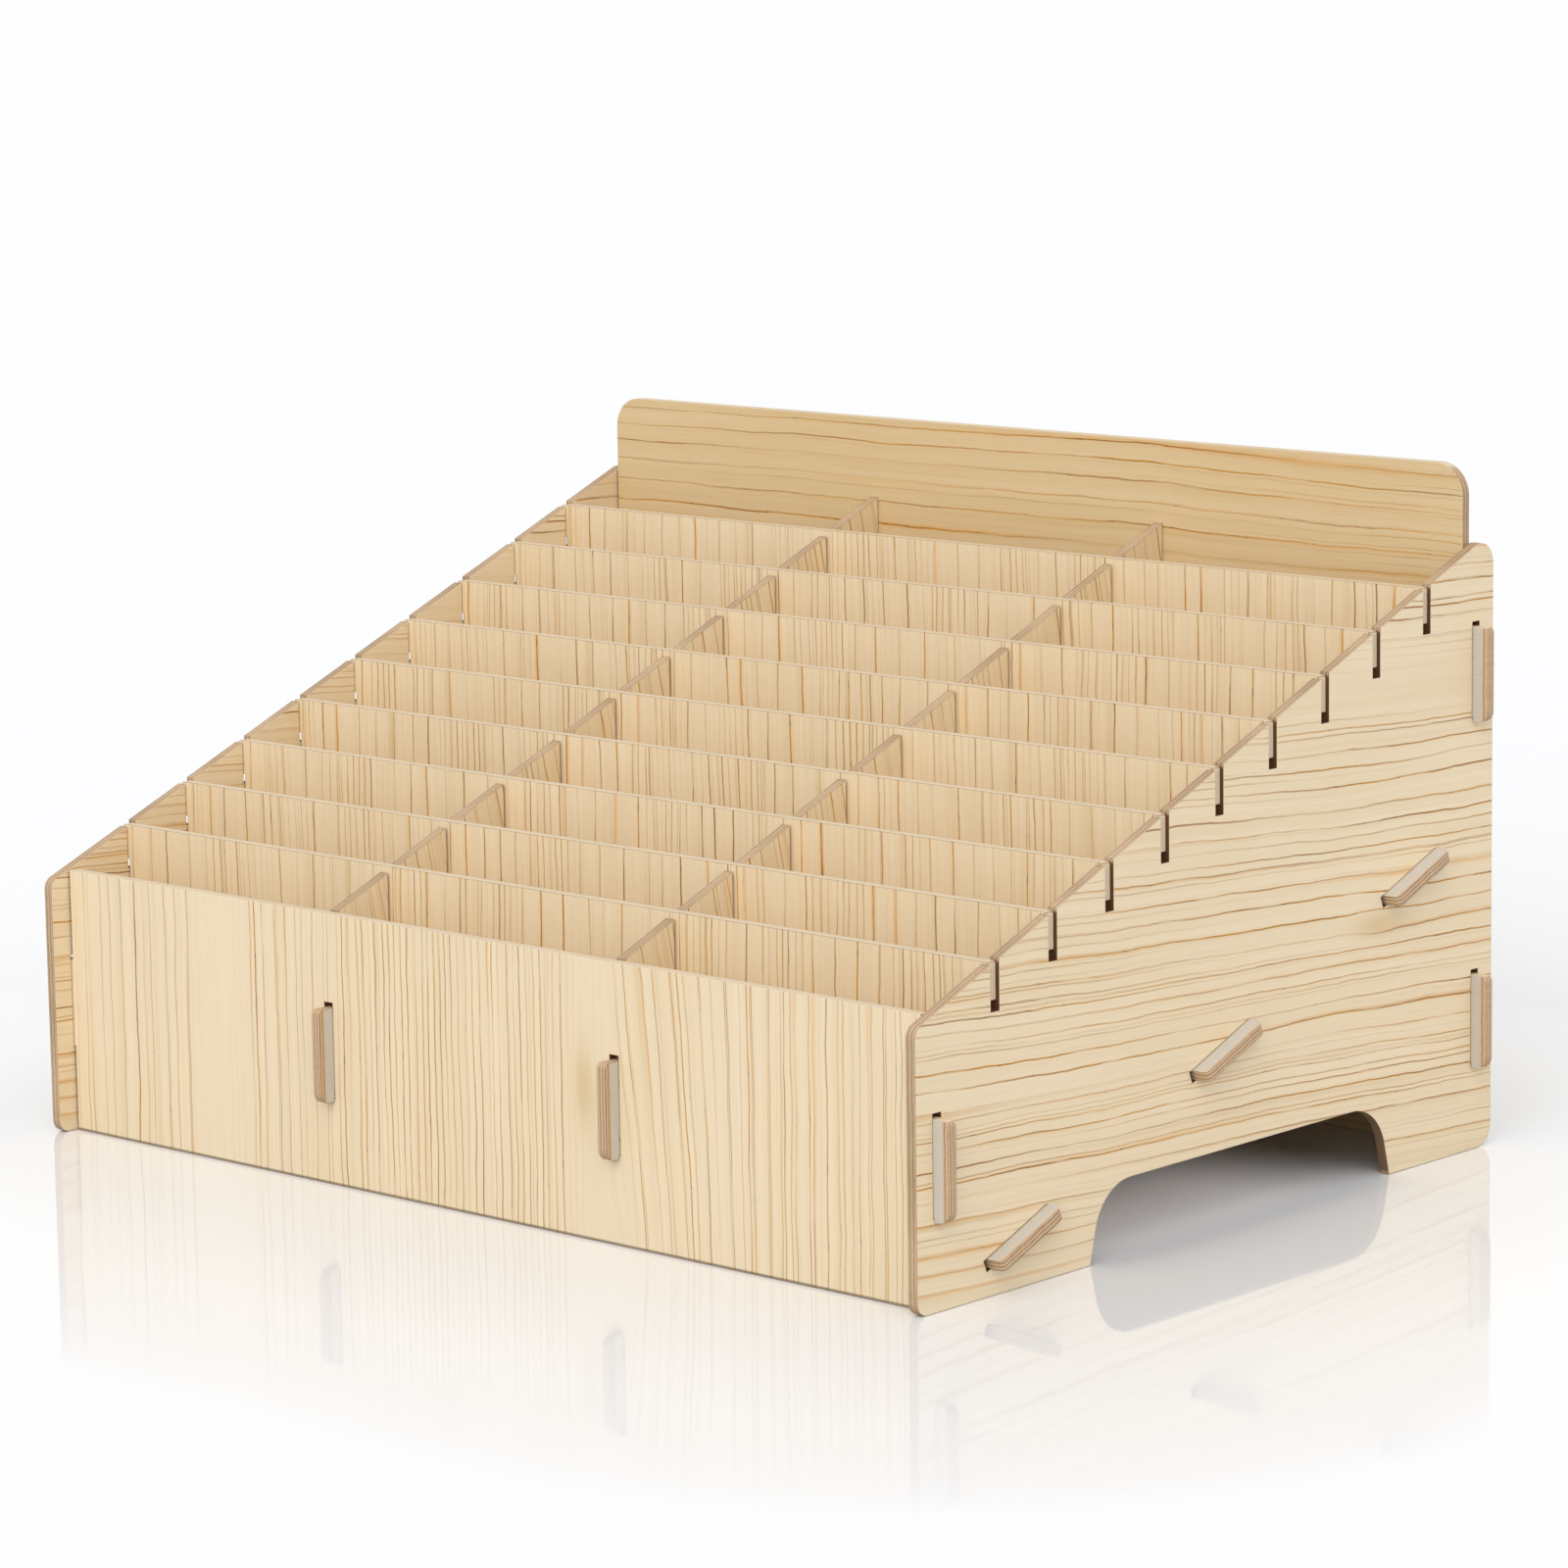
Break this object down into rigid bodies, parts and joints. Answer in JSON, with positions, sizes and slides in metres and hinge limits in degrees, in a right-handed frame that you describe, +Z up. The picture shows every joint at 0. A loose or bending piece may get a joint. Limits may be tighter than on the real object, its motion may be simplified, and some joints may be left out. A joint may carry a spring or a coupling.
{
  "type": "phone storage box",
  "caption": "Stepped box of slotted thin wood boards on an arched base, whose upright lift-out dividers make rows of narrow compartments for phones.",
  "frame": {"origin": "on the ground, in the middle of the footprint", "axes": "+X to the right, +Y to the back, where the box is highest, +Z up; the low front faces -Y"},
  "size_m": [0.34, 0.245, 0.1925],
  "materials": {
    "side_veneer": "satin printed pine veneer on thin fibreboard, brown cut edges",
    "front_veneer": "satin printed pine veneer on thin fibreboard, brown cut edges",
    "back_veneer": "satin printed pine veneer on thin fibreboard, brown cut edges",
    "floor_veneer": "satin printed pine veneer on thin fibreboard, brown cut edges",
    "long_divider_veneer": "satin printed pine veneer on thin fibreboard, brown cut edges",
    "cross_divider_veneer": "satin printed pine veneer on thin fibreboard, brown cut edges"
  },
  "bodies": {
    "box": {"side_panel_left": "side_veneer", "side_panel_right": "side_veneer", "front_panel": "front_veneer", "back_panel": "back_veneer", "sloping_floor": "floor_veneer", "long_divider_1": "long_divider_veneer", "long_divider_2": "long_divider_veneer"},
    "cross_divider_1": {"cross_divider_1": "cross_divider_veneer"},
    "cross_divider_2": {"cross_divider_2": "cross_divider_veneer"},
    "cross_divider_3": {"cross_divider_3": "cross_divider_veneer"},
    "cross_divider_4": {"cross_divider_4": "cross_divider_veneer"},
    "cross_divider_5": {"cross_divider_5": "cross_divider_veneer"},
    "cross_divider_6": {"cross_divider_6": "cross_divider_veneer"},
    "cross_divider_7": {"cross_divider_7": "cross_divider_veneer"},
    "cross_divider_8": {"cross_divider_8": "cross_divider_veneer"},
    "cross_divider_9": {"cross_divider_9": "cross_divider_veneer"}
  },
  "joints": [
    {"name": "cross_divider_1_lift", "type": "slide", "parent": "box", "child": "cross_divider_1", "axis": [0, 0, 1], "range_m": [0, 0.08]},
    {"name": "cross_divider_2_lift", "type": "slide", "parent": "box", "child": "cross_divider_2", "axis": [0, 0, 1], "range_m": [0, 0.08]},
    {"name": "cross_divider_3_lift", "type": "slide", "parent": "box", "child": "cross_divider_3", "axis": [0, 0, 1], "range_m": [0, 0.08]},
    {"name": "cross_divider_4_lift", "type": "slide", "parent": "box", "child": "cross_divider_4", "axis": [0, 0, 1], "range_m": [0, 0.08]},
    {"name": "cross_divider_5_lift", "type": "slide", "parent": "box", "child": "cross_divider_5", "axis": [0, 0, 1], "range_m": [0, 0.08]},
    {"name": "cross_divider_6_lift", "type": "slide", "parent": "box", "child": "cross_divider_6", "axis": [0, 0, 1], "range_m": [0, 0.08]},
    {"name": "cross_divider_7_lift", "type": "slide", "parent": "box", "child": "cross_divider_7", "axis": [0, 0, 1], "range_m": [0, 0.08]},
    {"name": "cross_divider_8_lift", "type": "slide", "parent": "box", "child": "cross_divider_8", "axis": [0, 0, 1], "range_m": [0, 0.08]},
    {"name": "cross_divider_9_lift", "type": "slide", "parent": "box", "child": "cross_divider_9", "axis": [0, 0, 1], "range_m": [0, 0.08]}
  ]
}
